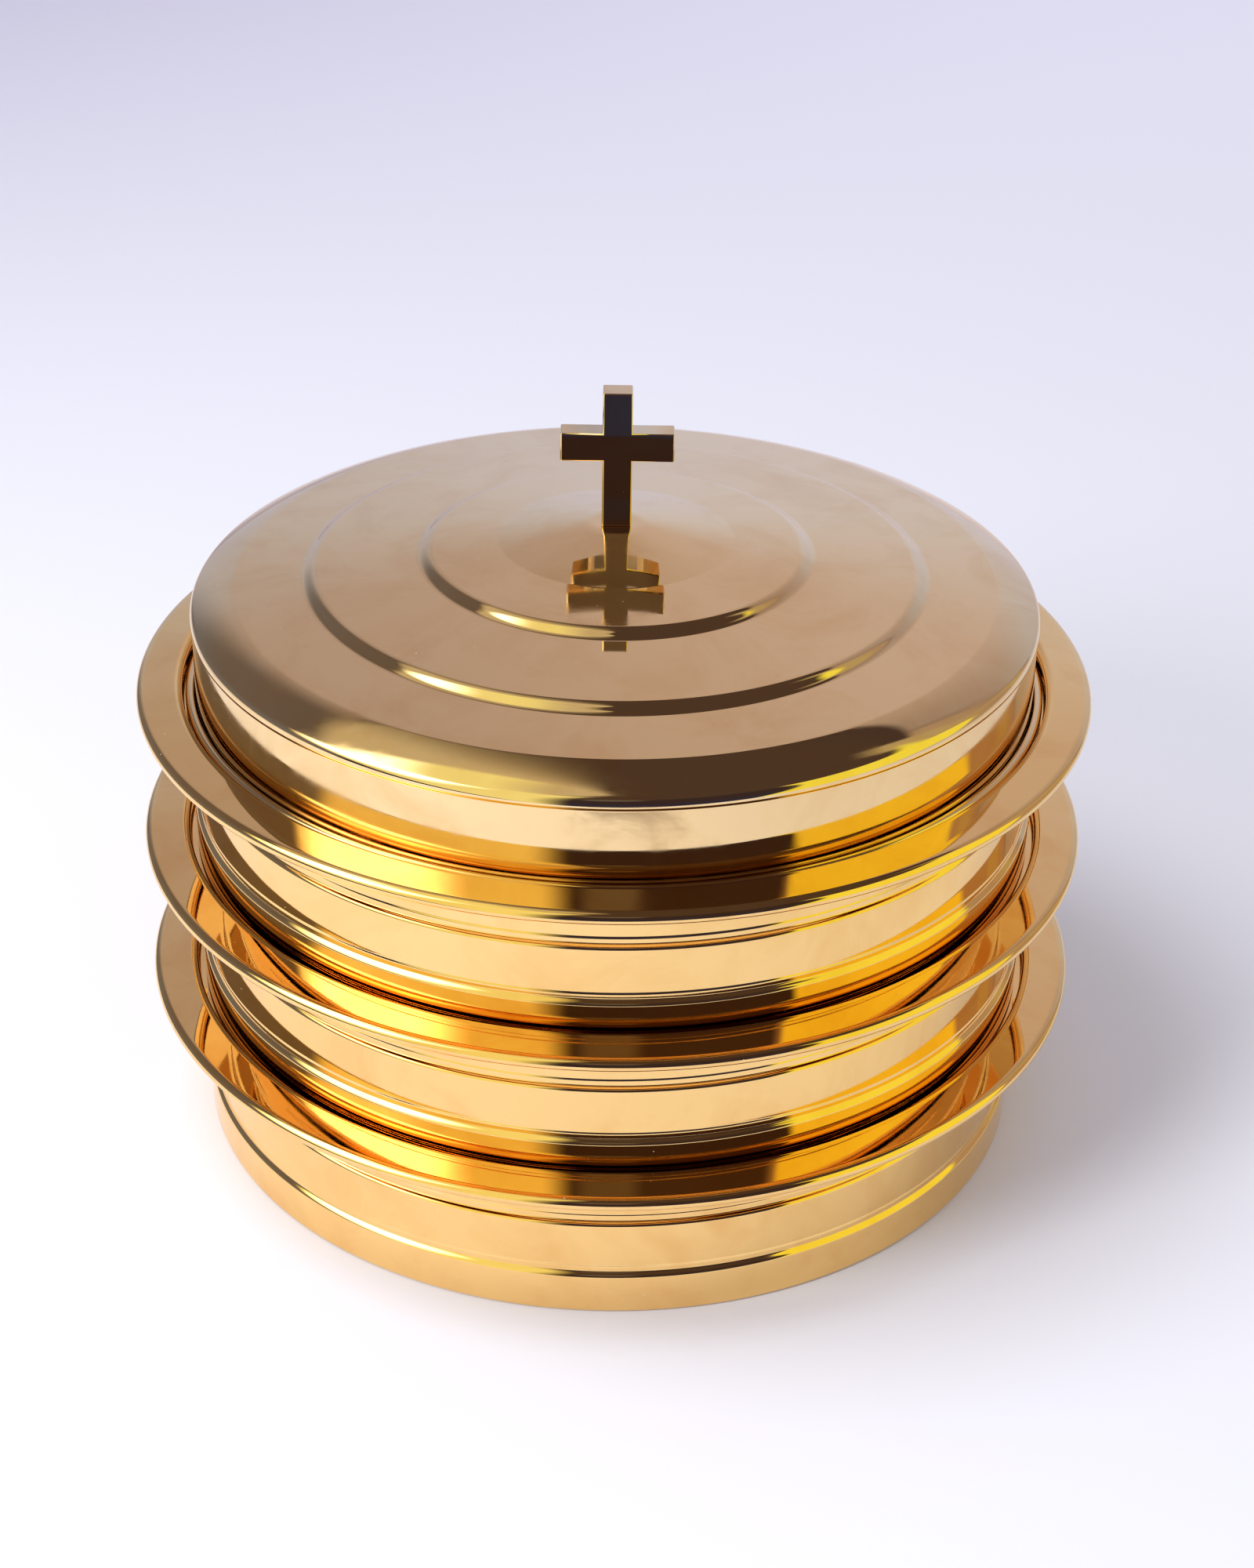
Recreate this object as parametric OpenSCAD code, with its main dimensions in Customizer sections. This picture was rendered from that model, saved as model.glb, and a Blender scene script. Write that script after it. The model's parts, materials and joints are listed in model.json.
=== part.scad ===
// Stacking communion tray set: three lipped trays, a stepped cover and a cross finial.
// Units are millimetres. Z points up. The origin is at the centre of the underside
// of the lowest tray. All pieces are drawn in their stacked, closed position.

/* [View] */
// Piece to draw ("all" draws the closed set)

/* [Trays] */
// Outside radius of the foot band that drops into the tray below
foot_r = 140; // [110:0.5:170]
// Gap between a foot band and the throat around it
throat_gap = 2.2; // [1.5:0.1:4]
// Width of the lip, from the throat to the outer edge of the rim
lip_w = 15; // [11:0.5:24]
// Height one tray adds to the stack
stack_pitch = 51.2; // [46:0.2:70]
// Depth of the well in which the next tray stands
well_depth = 6.3; // [5:0.1:9]
// Height of the outermost edge of the rim below the crest of the lip
rim_drop = 3.5; // [2.8:0.1:4.5]
// Height of the foot band
foot_h = 13.4; // [8:0.2:18]
// Height at which the wall narrows for the second time
waist_z = 32.2; // [24:0.2:36]
// Height of each of the two steps in the wall, up to the crease at its top
wall_step_h = 4.1; // [3:0.1:5]
// How much the wall narrows at the step above the foot band
foot_step_w = 1.6; // [0.8:0.1:2.4]
// How much the wall narrows at the waist
waist_step_w = 1.5; // [0.8:0.1:2.4]
// Thickness of the spun sheet
sheet = 0.8; // [0.6:0.1:1.2]

/* [Cup racks] */
// Height of the holed plate above the underside of its tray
rack_h = 27; // [20:0.5:32]
// Diameter of one cup hole
cup_hole_d = 29; // [24:0.5:31]
// Holes in the outer ring
outer_cups = 20; // [12:1:21]
// Holes in the middle ring
middle_cups = 13; // [8:1:14]
// Holes in the inner ring
inner_cups = 7; // [5:1:7]
// Diameter of the finger hole in the centre
finger_hole_d = 24; // [16:1:26]

/* [Cover] */
// Outside radius of the cover skirt
skirt_r = 138; // [108:0.5:168]
// Height of the cover from its bead to the foot of the cross
crown_h = 57.4; // [50:0.2:70]
// Radius of the small dome under the cross
dome_r = 38.2; // [34:0.2:42]
// Height of that dome
dome_h = 5.55; // [4:0.05:8]
// Inner radius of the first step in the top
first_step_r = 59.4; // [56:0.2:66]
// Inner radius of the second step in the top
second_step_r = 96.8; // [88:0.2:98]
// Radial width of each step
step_w = 5.6; // [4:0.1:7]
// Drop of each step
step_drop = 2.5; // [1.5:0.1:3.5]
// Slope of the rings between the steps, in degrees
ring_slope = 6.8; // [3:0.1:9]

/* [Cross] */
// Height of the cross
cross_h = 45.75; // [36:0.25:60]
// Span of the arms
cross_span = 36.4; // [28:0.2:48]
// Width of the upright and height of the arms
bar_w = 9.5; // [9:0.1:12]
// Front-to-back thickness of the cross
bar_t = 8.2; // [8:0.1:12]
// Distance from the top of the cross down to the arms
arm_drop = 13.6; // [8:0.2:18]

/* [Hidden] */
$fn = 180;

gold = [0.86, 0.67, 0.40];
deep_gold = [0.80, 0.60, 0.30];
steel = [0.72, 0.72, 0.70];

// Segments in one rounded part of a profile
bend_steps = 8;
// Degrees left out where one bend runs straight into another, so that no point is doubled
bend_skip = 6;
half_sheet = sheet / 2;

// Tray profile, measured on the middle of the sheet
floor_corner = 1;
panel_rise = 1.2;
panel_inset = 14;
panel_r = foot_r - panel_inset;
panel_blend = 3;
foot_c = foot_r - half_sheet;
wall_c = foot_c - foot_step_w;
waist_c = wall_c - waist_step_w;
ledge_c = stack_pitch - half_sheet;
ledge_corner = 1;
throat_c = foot_r + throat_gap + half_sheet;
crest_z = stack_pitch + well_depth;
crest_c = crest_z - half_sheet;
lip_bend = 2.1;
rim_roll = 1.5;
rim_roll_end = -160;
rim_r = foot_r + throat_gap + lip_w;
roll_x = rim_r - rim_roll - half_sheet;
roll_z = crest_z - rim_drop;
// The lip is a cone between the crest bend and a wider bend that runs into the rolled rim
crest_centre = [throat_c + lip_bend, crest_c - lip_bend];
rim_centre = [roll_x, roll_z];
rim_bend = 4;
rim_bend_end = 55;
rim_bend_centre = rim_centre - (rim_bend - rim_roll) * [cos(rim_bend_end), sin(rim_bend_end)];
lip_reach = rim_bend_centre - crest_centre;
lip_slope = asin((lip_bend - rim_bend) / norm(lip_reach)) - atan2(lip_reach[1], lip_reach[0]);

// Each step in the wall is a main step, an upright band and a shallow crease
main_step_h = 0.46;
crease_step_h = 0.24;
crease_step_w = 0.2;

// Cup rack
rack_gap = 2;
rack_skirt_c = waist_c - half_sheet - rack_gap - half_sheet;
rack_corner = 3;
rack_plate_c = rack_h - half_sheet;
rack_collar = 3;
collar_bend = 1;
ring_inset = 16;
outer_ring_r = rack_skirt_c - ring_inset;
ring_spacing = 36;

// Cover, heights measured from the underside of its bead
bead_roll = 1.65;
bead_end = 460;
// Clearance under the bead, so that the faceted surfaces do not cross
rest_gap = 0.02;
skirt_c = skirt_r - half_sheet;
crown_flat_r = 6.6;
dome_slope = 10;
dome_bend_r = 4.4;
crown_c = crown_h - half_sheet;
shoulder_bulge = 0.4;
shoulder_w = 14;
shoulder_in_r = skirt_r - shoulder_w;
shoulder_in_slope = 15;
shoulder_out_slope = 30;
shoulder_corner = 2.5;
crease_h = 1.8;
crease_depth = 0.4;
crease_lead = 0.4;

// Cross fixing
screw_r = 2;
screw_hole_r = 2.25;
screw_l = 10;
screw_gap = 0.05;
head_r = 4;
head_h = 2.6;
head_chamfer = 0.8;
driver_slot_w = 1.1;
driver_slot_l = 5;
driver_slot_d = 1.4;
washer_r = 6;
washer_t = 1;
cross_chamfer = 0.5;

cover_z = 3 * stack_pitch + rest_gap;
cross_z = cover_z + crown_h;

// ---- profile helpers ----

function unit(v) = v / norm(v);
function left_of(a, b) = let (d = unit(b - a)) [-d[1], d[0]];

// Points of an arc around c, from angle a0 to angle a1
function bend(c, r, a0, a1) =
    [for (k = [0:bend_steps]) let (a = a0 + (a1 - a0) * k / bend_steps) c + r * [cos(a), sin(a)]];

// Rounded step that starts and ends upright
function upright_step(from, to) =
    [for (k = [0:bend_steps]) let (s = k / bend_steps)
        [from[0] + (to[0] - from[0]) * (1 - cos(180 * s)) / 2, from[1] + (to[1] - from[1]) * s]];

// Rounded step that starts and ends level, apart from the slope of the line between them
function level_step(from, to, drop) =
    [for (k = [0:bend_steps]) let (s = k / bend_steps)
        [from[0] + (to[0] - from[0]) * s,
         from[1] + (to[1] - from[1] + drop) * s - drop * (1 - cos(180 * s)) / 2]];

// The same path moved sideways by d
function moved(path, d) =
    let (last = len(path) - 1)
    [for (i = [0:last])
        let (before = left_of(path[max(i - 1, 0)], path[max(i, 1)]))
        let (after = left_of(path[min(i, last - 1)], path[min(i + 1, last)]))
        let (middle = unit(before + after))
        path[i] + middle * d / (middle * before)];

function reversed(list) = [for (i = [len(list) - 1:-1:0]) list[i]];

// Turned sheet piece whose middle surface follows the path
module spun(path) {
    rotate_extrude()
        polygon(concat(moved(path, half_sheet), reversed(moved(path, -half_sheet))));
}

// ---- trays ----

// Step in the wall with a crease above it
function wall_step(from, to) =
    let (h = to[1] - from[1])
    concat(upright_step(from, [to[0] + crease_step_w, from[1] + main_step_h * h]),
           upright_step([to[0] + crease_step_w, to[1] - crease_step_h * h], to));

tray_path = concat(
    [[0, half_sheet + panel_rise]],
    level_step([panel_r, half_sheet + panel_rise], [panel_r + panel_blend, half_sheet], panel_rise),
    bend([foot_c - floor_corner, half_sheet + floor_corner], floor_corner, -90, 0),
    wall_step([foot_c, foot_h], [wall_c, foot_h + wall_step_h]),
    wall_step([wall_c, waist_z], [waist_c, waist_z + wall_step_h]),
    bend([waist_c + ledge_corner, ledge_c - ledge_corner], ledge_corner, 180, 90),
    bend([throat_c - ledge_corner, ledge_c + ledge_corner], ledge_corner, -90, 0),
    bend(crest_centre, lip_bend, 180, 90 - lip_slope),
    bend(rim_bend_centre, rim_bend, 90 - lip_slope, rim_bend_end),
    bend(rim_centre, rim_roll, rim_bend_end - bend_skip, rim_roll_end)
);

module tray() {
    color(gold) spun(tray_path);
}

module tray_bottom() {
    tray();
}

module tray_middle() {
    translate([0, 0, stack_pitch]) tray();
}

module tray_top() {
    translate([0, 0, 2 * stack_pitch]) tray();
}

// ---- cup racks ----

rack_path = concat(
    [[finger_hole_d / 2 + half_sheet, rack_plate_c - rack_collar]],
    bend([finger_hole_d / 2 + half_sheet + collar_bend, rack_plate_c - collar_bend], collar_bend, 180, 90),
    bend([rack_skirt_c - rack_corner, rack_plate_c - rack_corner], rack_corner, 90, 0),
    [[rack_skirt_c, sheet]]
);

// Ring of cup holes through the plate
module cup_holes(ring_r, count) {
    for (i = [0:count - 1])
        rotate([0, 0, i * 360 / count])
            translate([ring_r, 0, rack_h - 2 * sheet])
                cylinder(h = 3 * sheet, d = cup_hole_d, $fn = 96);
}

module rack() {
    color(deep_gold)
        difference() {
            spun(rack_path);
            cup_holes(outer_ring_r, outer_cups);
            cup_holes(outer_ring_r - ring_spacing, middle_cups);
            cup_holes(outer_ring_r - 2 * ring_spacing, inner_cups);
        }
}

module rack_bottom() {
    rack();
}

module rack_middle() {
    translate([0, 0, stack_pitch]) rack();
}

module rack_top() {
    translate([0, 0, 2 * stack_pitch]) rack();
}

// ---- cover ----

// Heights of the middle of the sheet at the ends of the rings
function ring_fall(width) = width * tan(ring_slope);
dome_edge_z = crown_c - dome_h;
first_ring_z = dome_edge_z - ring_fall(first_step_r - dome_r);
second_in_z = first_ring_z - step_drop;
second_ring_z = second_in_z - ring_fall(second_step_r - first_step_r - step_w);
third_in_z = second_ring_z - step_drop;
step_fall = step_drop - ring_fall(step_w);
shoulder_in_z = third_in_z - ring_fall(shoulder_in_r - second_step_r - step_w);

// The shoulder is a wide bend that tightens into a corner above the skirt
shoulder_r = (skirt_c + shoulder_bulge - shoulder_in_r - shoulder_corner * (1 - sin(shoulder_out_slope)))
    / (sin(shoulder_out_slope) - sin(shoulder_in_slope));
wide_c = [shoulder_in_r - shoulder_r * sin(shoulder_in_slope),
          shoulder_in_z - shoulder_r * cos(shoulder_in_slope)];
corner_c = wide_c + (shoulder_r - shoulder_corner) * [sin(shoulder_out_slope), cos(shoulder_out_slope)];
bulge_z = corner_c[1];

// The small dome bends quickly to its slope and then steepens a little towards its edge
dome_radius = dome_bend_r / sin(dome_slope);
dome_bend_end = [crown_flat_r + dome_bend_r, crown_c - dome_radius * (1 - cos(dome_slope))];
dome_chord = [dome_r, dome_edge_z] - dome_bend_end;
dome_turn = 2 * (atan2(-dome_chord[1], dome_chord[0]) - dome_slope);
dome_outer_radius = norm(dome_chord) / (2 * sin(dome_turn / 2));
dome_outer_c = dome_bend_end - dome_outer_radius * [sin(dome_slope), cos(dome_slope)];

bead_c = [skirt_c + bead_roll, bead_roll + half_sheet];

cover_path = concat(
    [[screw_hole_r, crown_c]],
    bend([crown_flat_r, crown_c - dome_radius], dome_radius, 90, 90 - dome_slope),
    bend(dome_outer_c, dome_outer_radius, 90 - dome_slope - dome_turn / bend_steps, 90 - dome_slope - dome_turn),
    level_step([first_step_r, first_ring_z], [first_step_r + step_w, second_in_z], step_fall),
    level_step([second_step_r, second_ring_z], [second_step_r + step_w, third_in_z], step_fall),
    bend(wide_c, shoulder_r, 90 - shoulder_in_slope, 90 - shoulder_out_slope),
    bend(corner_c, shoulder_corner, 90 - shoulder_out_slope - bend_skip, 0),
    upright_step([skirt_c + shoulder_bulge, bulge_z - crease_lead],
                 [skirt_c + shoulder_bulge - crease_depth, bulge_z - crease_h]),
    bend(bead_c, bead_roll, 180, 360),
    bend(bead_c, bead_roll, 360 + 2 * bend_skip, bead_end)
);

module cover() {
    color(gold) translate([0, 0, cover_z]) spun(cover_path);
}

// ---- cross and its fixing ----

// Upright rectangle with its four corners cut off
module cut_rectangle(w, h) {
    c = cross_chamfer;
    polygon([[-w / 2 + c, 0], [w / 2 - c, 0], [w / 2, c], [w / 2, h - c],
             [w / 2 - c, h], [-w / 2 + c, h], [-w / 2, h - c], [-w / 2, c]]);
}

// Bar with every edge cut off, standing on its foot
module cut_bar(w, t, h) {
    intersection() {
        rotate([90, 0, 0]) linear_extrude(height = t, center = true) cut_rectangle(w, h);
        rotate([90, 0, 90]) linear_extrude(height = w, center = true) cut_rectangle(t, h);
        translate([0, -t / 2, 0]) linear_extrude(height = h) cut_rectangle(w, t);
    }
}

module cross() {
    color(deep_gold)
        translate([0, 0, cross_z])
            difference() {
                union() {
                    cut_bar(bar_w, bar_t, cross_h);
                    translate([0, 0, cross_h - arm_drop - bar_w]) cut_bar(cross_span, bar_t, bar_w);
                }
                translate([0, 0, -1]) cylinder(h = screw_l, r = screw_r + screw_gap, $fn = 96);
            }
}

washer_z = cross_z - sheet - washer_t;

module cross_washer() {
    color(steel)
        translate([0, 0, washer_z])
            difference() {
                cylinder(h = washer_t, r = washer_r, $fn = 96);
                translate([0, 0, -1]) cylinder(h = washer_t + 2, r = screw_hole_r, $fn = 96);
            }
}

module cross_screw() {
    color(steel)
        translate([0, 0, washer_z])
            difference() {
                union() {
                    cylinder(h = screw_l, r = screw_r, $fn = 96);
                    translate([0, 0, -head_h])
                        cylinder(h = head_h / 2, r1 = head_r - head_chamfer, r2 = head_r, $fn = 96);
                    translate([0, 0, -head_h / 2]) cylinder(h = head_h / 2, r = head_r, $fn = 96);
                }
                for (a = [0, 90])
                    rotate([0, 0, a])
                        translate([0, 0, -head_h])
                            cube([driver_slot_l, driver_slot_w, 2 * driver_slot_d], center = true);
            }
}

tray_bottom();
rack_bottom();
tray_middle();
rack_middle();
tray_top();
rack_top();
cover();
cross();
cross_washer();
cross_screw();
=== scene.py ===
"""Stacking communion tray set: three lipped trays with cup racks, a stepped cover and a cross."""

import json
import math

import bmesh
import bpy
from mathutils import Matrix, Vector


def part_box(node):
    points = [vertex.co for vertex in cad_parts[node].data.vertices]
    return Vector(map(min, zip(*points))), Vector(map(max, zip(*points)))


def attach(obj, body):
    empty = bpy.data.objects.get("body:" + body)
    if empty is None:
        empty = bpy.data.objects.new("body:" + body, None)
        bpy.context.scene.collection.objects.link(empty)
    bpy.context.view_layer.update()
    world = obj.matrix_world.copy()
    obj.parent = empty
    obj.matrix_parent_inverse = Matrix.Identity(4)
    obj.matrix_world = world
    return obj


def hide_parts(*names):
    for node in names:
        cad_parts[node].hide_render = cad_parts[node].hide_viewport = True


bl_info = {
    "name": "Communion Tray Set",
    "version": (1, 0, 0),
    "blender": (4, 5, 0),
    "location": "View3D > Sidebar > Tray Set",
    "description": "Builds a stack of turned communion trays with a cover, racks and a studio",
    "category": "Add Mesh",
}

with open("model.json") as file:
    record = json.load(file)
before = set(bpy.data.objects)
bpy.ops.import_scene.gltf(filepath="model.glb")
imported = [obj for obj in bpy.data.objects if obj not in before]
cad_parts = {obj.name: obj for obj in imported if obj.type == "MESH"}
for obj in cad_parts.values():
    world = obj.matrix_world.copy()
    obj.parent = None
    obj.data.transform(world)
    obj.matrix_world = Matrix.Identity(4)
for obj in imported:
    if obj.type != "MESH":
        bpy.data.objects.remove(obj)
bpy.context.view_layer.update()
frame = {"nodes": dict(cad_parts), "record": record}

TRAYS = ("tray_bottom", "tray_middle", "tray_top")
RACKS = ("rack_bottom", "rack_middle", "rack_top")
BODY_OF = {
    node: body
    for body, nodes in frame["record"]["behaviour"]["bodies"].items()
    for node in nodes
}

TRAY_LOW, TRAY_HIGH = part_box("tray_bottom")
RACK_LOW, RACK_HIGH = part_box("rack_bottom")
COVER_LOW, COVER_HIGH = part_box("cover")
CROSS_LOW, CROSS_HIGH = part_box("cross")
STACK_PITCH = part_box("tray_middle")[0].z - TRAY_LOW.z

MM = 0.001
# Distance of an extra outline point from the end of a long line
SUPPORT = 0.3 * MM
# Air under the skirt of a rack, so that it doesn't cut into the floor of its tray
STANDING_GAP = 0.05 * MM
TINY = 1e-7
WELD = 1e-6
# Radius of the circle an outline is swept round, before it is moved to its own radius
RAIL = 0.1


# ---- settings ----


def length(name, description, default):
    """A size in metres, shown in the scene's own units."""
    return bpy.props.FloatProperty(
        name=name, description=description, default=default, min=0.0, precision=5, unit="LENGTH"
    )


def angle(name, description, degrees):
    """An angle, shown in degrees."""
    return bpy.props.FloatProperty(
        name=name, description=description, default=math.radians(degrees), unit="ROTATION"
    )


def tint(name, description, default):
    """A colour of a finish."""
    return bpy.props.FloatVectorProperty(
        name=name, description=description, default=default, size=3, min=0.0, max=1.0, subtype="COLOR"
    )


def factor(name, description, default):
    """A share from nothing to all."""
    return bpy.props.FloatProperty(
        name=name, description=description, default=default, min=0.0, max=1.0, subtype="FACTOR"
    )


def amount(name, description, default):
    """A plain number, such as the power of a light."""
    return bpy.props.FloatProperty(name=name, description=description, default=default)


def number(name, description, default):
    """A whole number of things."""
    return bpy.props.IntProperty(name=name, description=description, default=default)


class TraySizes(bpy.types.PropertyGroup):
    """Sizes of one tray."""

    foot_radius: length("Foot radius", "Outside radius of the foot band", 140 * MM)
    throat_gap: length("Throat gap", "Gap between a foot band and the throat around it", 2.2 * MM)
    lip_width: length("Lip width", "Throat to the outer edge of the rim", 15 * MM)
    well_depth: length("Well depth", "Depth of the well the next tray stands in", 6.3 * MM)
    rim_drop: length("Rim drop", "Outermost edge of the rim below the crest", 3.5 * MM)
    foot_height: length("Foot height", "Height of the foot band", 13.4 * MM)
    waist_height: length("Waist height", "Height of the second step in the wall", 32.2 * MM)
    step_height: length("Step height", "Height of each step in the wall, up to its crease", 4.1 * MM)
    foot_step: length("Foot step", "Narrowing above the foot band", 1.6 * MM)
    waist_step: length("Waist step", "Narrowing at the waist", 1.5 * MM)
    sheet: length("Sheet", "Thickness of the spun sheet", 0.8 * MM)


class RackSizes(bpy.types.PropertyGroup):
    """Sizes of one cup rack."""

    height: length("Height", "Top of the plate above the underside of the tray", RACK_HIGH.z)
    radius: length("Radius", "Outside radius of the skirt", RACK_HIGH.x)
    cup_hole: length("Cup hole", "Radius of one cup hole", 14.5 * MM)
    finger_hole: length("Finger hole", "Radius of the hole in the centre", 12 * MM)
    collar: length("Collar", "Depth of the collar round the finger hole", 3 * MM)
    ring_inset: length("Ring inset", "Outer ring of holes, in from the skirt", 16 * MM)
    ring_spacing: length("Ring spacing", "Distance between the rings of holes", 36 * MM)
    outer_count: number("Outer holes", "Holes in the outer ring", 20)
    middle_count: number("Middle holes", "Holes in the middle ring", 13)
    inner_count: number("Inner holes", "Holes in the inner ring", 7)


class CoverSizes(bpy.types.PropertyGroup):
    """Sizes of the cover."""

    skirt_radius: length("Skirt radius", "Outside radius of the skirt", 138 * MM)
    crown_height: length("Crown height", "Crown above the underside of the bead", COVER_HIGH.z - COVER_LOW.z)
    dome_radius: length("Dome radius", "Radius of the small dome under the cross", 38.2 * MM)
    dome_height: length("Dome height", "Height of the small dome", 5.55 * MM)
    first_step: length("First step", "Inner radius of the first step", 59.4 * MM)
    second_step: length("Second step", "Inner radius of the second step", 96.8 * MM)
    step_width: length("Step width", "Radial width of a step", 5.6 * MM)
    step_drop: length("Step drop", "Drop of a step", 2.5 * MM)
    ring_slope: angle("Ring slope", "Slope of the rings between the steps", 6.8)
    bead_roll: length("Bead roll", "Radius of the rolled bead, at the middle of the sheet", 1.65 * MM)


class CrossSizes(bpy.types.PropertyGroup):
    """Sizes of the cross."""

    span: length("Span", "Width across the arms", CROSS_HIGH.x - CROSS_LOW.x)
    height: length("Height", "Height of the cross", CROSS_HIGH.z - CROSS_LOW.z)
    depth: length("Depth", "Front-to-back thickness", CROSS_HIGH.y - CROSS_LOW.y)
    bar: length("Bar", "Width of the upright and height of the arms", 9.5 * MM)
    arm_drop: length("Arm drop", "Top of the cross to the top of the arms", 13.6 * MM)
    edge: length("Edge", "Radius of the polished edges", 0.55 * MM)


class Finishes(bpy.types.PropertyGroup):
    """Colours and polish of the metal."""

    tray_tint: tint("Tray tint", "Gold tone of the trays", (0.95, 0.63, 0.25))
    cover_tint: tint("Cover tint", "Gold tone of the cover", (0.89, 0.64, 0.325))
    cross_tint: tint("Cross tint", "Gold tone of the cross", (0.80, 0.58, 0.30))
    rack_tint: tint("Rack tint", "Gold tone of the racks", (0.82, 0.60, 0.30))
    steel_tint: tint("Steel tint", "Plain steel of the fixing", (0.60, 0.60, 0.58))
    polish: factor("Polish roughness", "Roughness of the mirror polish", 0.02)
    haze: factor("Haze roughness", "Roughness of the hazy top of the cover", 0.03)


class StageSettings(bpy.types.PropertyGroup):
    """Studio round the object."""

    key_light: amount("Key light", "Power of the light on the table", 15.5)
    fill_light: amount("Fill light", "Power of the low light in front", 17.0)
    table_glow: factor("Table glow", "Evenness of the white table near the object", 0.05)
    far_glow: factor("Far glow", "Evenness of the table far behind", 0.33)
    table_tint: tint("Table tint", "White of the table", (0.80, 0.80, 0.84))
    # Painted shade: the table far behind is painted a darker lavender grey, standing in for light falling off
    # towards the back.
    far_painted_shade_tint: tint("Far tint", "Table far behind the object", (0.71, 0.69, 0.79))
    # Painted shade: the far left of the table is painted dimmer, standing in for the light falling away
    # there.
    left_painted_shade_tint: tint("Corner tint", "Dimmer left side of the table", (0.46, 0.44, 0.55))
    ambient_tint: tint("Ambient tint", "Even light on the table", (0.56, 0.555, 0.625))
    low_tint: tint("Low tint", "Low part of the backdrop", (0.66, 0.71, 1.0))
    middle_tint: tint("Middle tint", "Middle of the backdrop", (0.60, 0.535, 0.64))
    high_tint: tint("High tint", "Top of the backdrop", (0.53, 0.45, 0.49))
    camera_tint: tint("Camera side tint", "Ceiling above the camera", (0.15, 0.14, 0.17))
    wall_tint: tint("Wall tint", "Dim wall to the right", (0.45, 0.35, 0.30))
    panel_tint: tint("Panel tint", "Warm panel to the right", (1.0, 1.0, 0.14))
    strip_tint: tint("Strip tint", "Inner end of the warm panel", (0.50, 0.43, 0.27))
    softbox_tint: tint("Softbox tint", "Edge of the softbox to the left", (1.0, 1.0, 0.52))
    softbox_core: amount("Softbox core", "Brightness in the middle of the softbox", 4.2)
    halo_tint: tint("Halo tint", "Ceiling lit by the softbox", (0.62, 0.56, 0.43))
    ceiling_tint: tint("Ceiling tint", "Dim ceiling", (0.08, 0.055, 0.05))
    room_tint: tint("Room tint", "Dim room behind the camera", (0.045, 0.032, 0.045))
    floor_tint: tint("Floor tint", "Dark floor in front of the table", (0.032, 0.034, 0.09))


GROUPS = {
    "tray_sizes": TraySizes,
    "rack_sizes": RackSizes,
    "cover_sizes": CoverSizes,
    "cross_sizes": CrossSizes,
    "tray_finishes": Finishes,
    "tray_stage": StageSettings,
}


# ---- profiles ----


def bend(centre, radius, start, end, steps=12):
    """Points of an arc, from one angle to another in degrees."""
    turns = [math.radians(start + (end - start) * k / steps) for k in range(steps + 1)]
    return [(centre[0] + radius * math.cos(a), centre[1] + radius * math.sin(a)) for a in turns]


def upright_step(low, high, steps=20):
    """Rounded step that starts and ends upright."""
    points = []
    for k in range(steps + 1):
        s = k / steps
        ease = (1 - math.cos(math.pi * s)) / 2
        points.append((low[0] + (high[0] - low[0]) * ease, low[1] + (high[1] - low[1]) * s))
    return points


def level_step(inner, outer, drop, steps=16):
    """Rounded step between two level or sloping rings."""
    points = []
    for k in range(steps + 1):
        s = k / steps
        ease = (1 - math.cos(math.pi * s)) / 2
        height = inner[1] + (outer[1] - inner[1] + drop) * s - drop * ease
        points.append((inner[0] + (outer[0] - inner[0]) * s, height))
    return points


def cleaned(path):
    """The path without doubled points, and with extra points where a long line meets a bend."""
    kept = [path[0]]
    for point in path[1:]:
        if math.dist(point, kept[-1]) > TINY:
            kept.append(point)
    full = [kept[0]]
    for a, b in zip(kept, kept[1:]):
        run = math.dist(a, b)
        if run > 4 * SUPPORT:
            for s in (SUPPORT / run, 1 - SUPPORT / run):
                full.append((a[0] + (b[0] - a[0]) * s, a[1] + (b[1] - a[1]) * s))
        full.append(b)
    return full


def side_directions(path):
    """A unit vector across the path at each point."""
    sides = []
    for a, b in zip(path, path[1:]):
        run = math.dist(a, b)
        sides.append(((a[1] - b[1]) / run, (b[0] - a[0]) / run, run))
    out = []
    for i in range(len(path)):
        near = sides[max(i - 1, 0)], sides[min(i, len(sides) - 1)]
        x = sum(s[0] * s[2] for s in near)
        y = sum(s[1] * s[2] for s in near)
        size = math.hypot(x, y)
        out.append((x / size, y / size))
    return out


def sheet_outline(path, sheet, round_start):
    """Closed outline of a sheet whose middle follows the path, with rounded cut edges."""
    path = cleaned(path)
    sides = side_directions(path)
    half = sheet / 2
    upper = [(p[0] + s[0] * half, p[1] + s[1] * half) for p, s in zip(path, sides)]
    lower = [(p[0] - s[0] * half, p[1] - s[1] * half) for p, s in zip(path, sides)]

    def edge(point, side, turn):
        first = math.degrees(math.atan2(side[1], side[0]))
        return bend(point, half, first, first + turn, 6)[1:-1]

    outline = upper + edge(path[-1], sides[-1], -180) + lower[::-1]
    if round_start:
        back = (-sides[0][0], -sides[0][1])
        outline += edge(path[0], back, -180)
    return outline


def wall_step(low, high):
    """A main step, an upright band and a shallow crease."""
    main_share, crease_share, crease_width = 0.46, 0.24, 0.2 * MM
    rise = high[1] - low[1]
    middle = high[0] + crease_width
    return upright_step(low, (middle, low[1] + main_share * rise)) + upright_step(
        (middle, high[1] - crease_share * rise), high
    )


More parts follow.
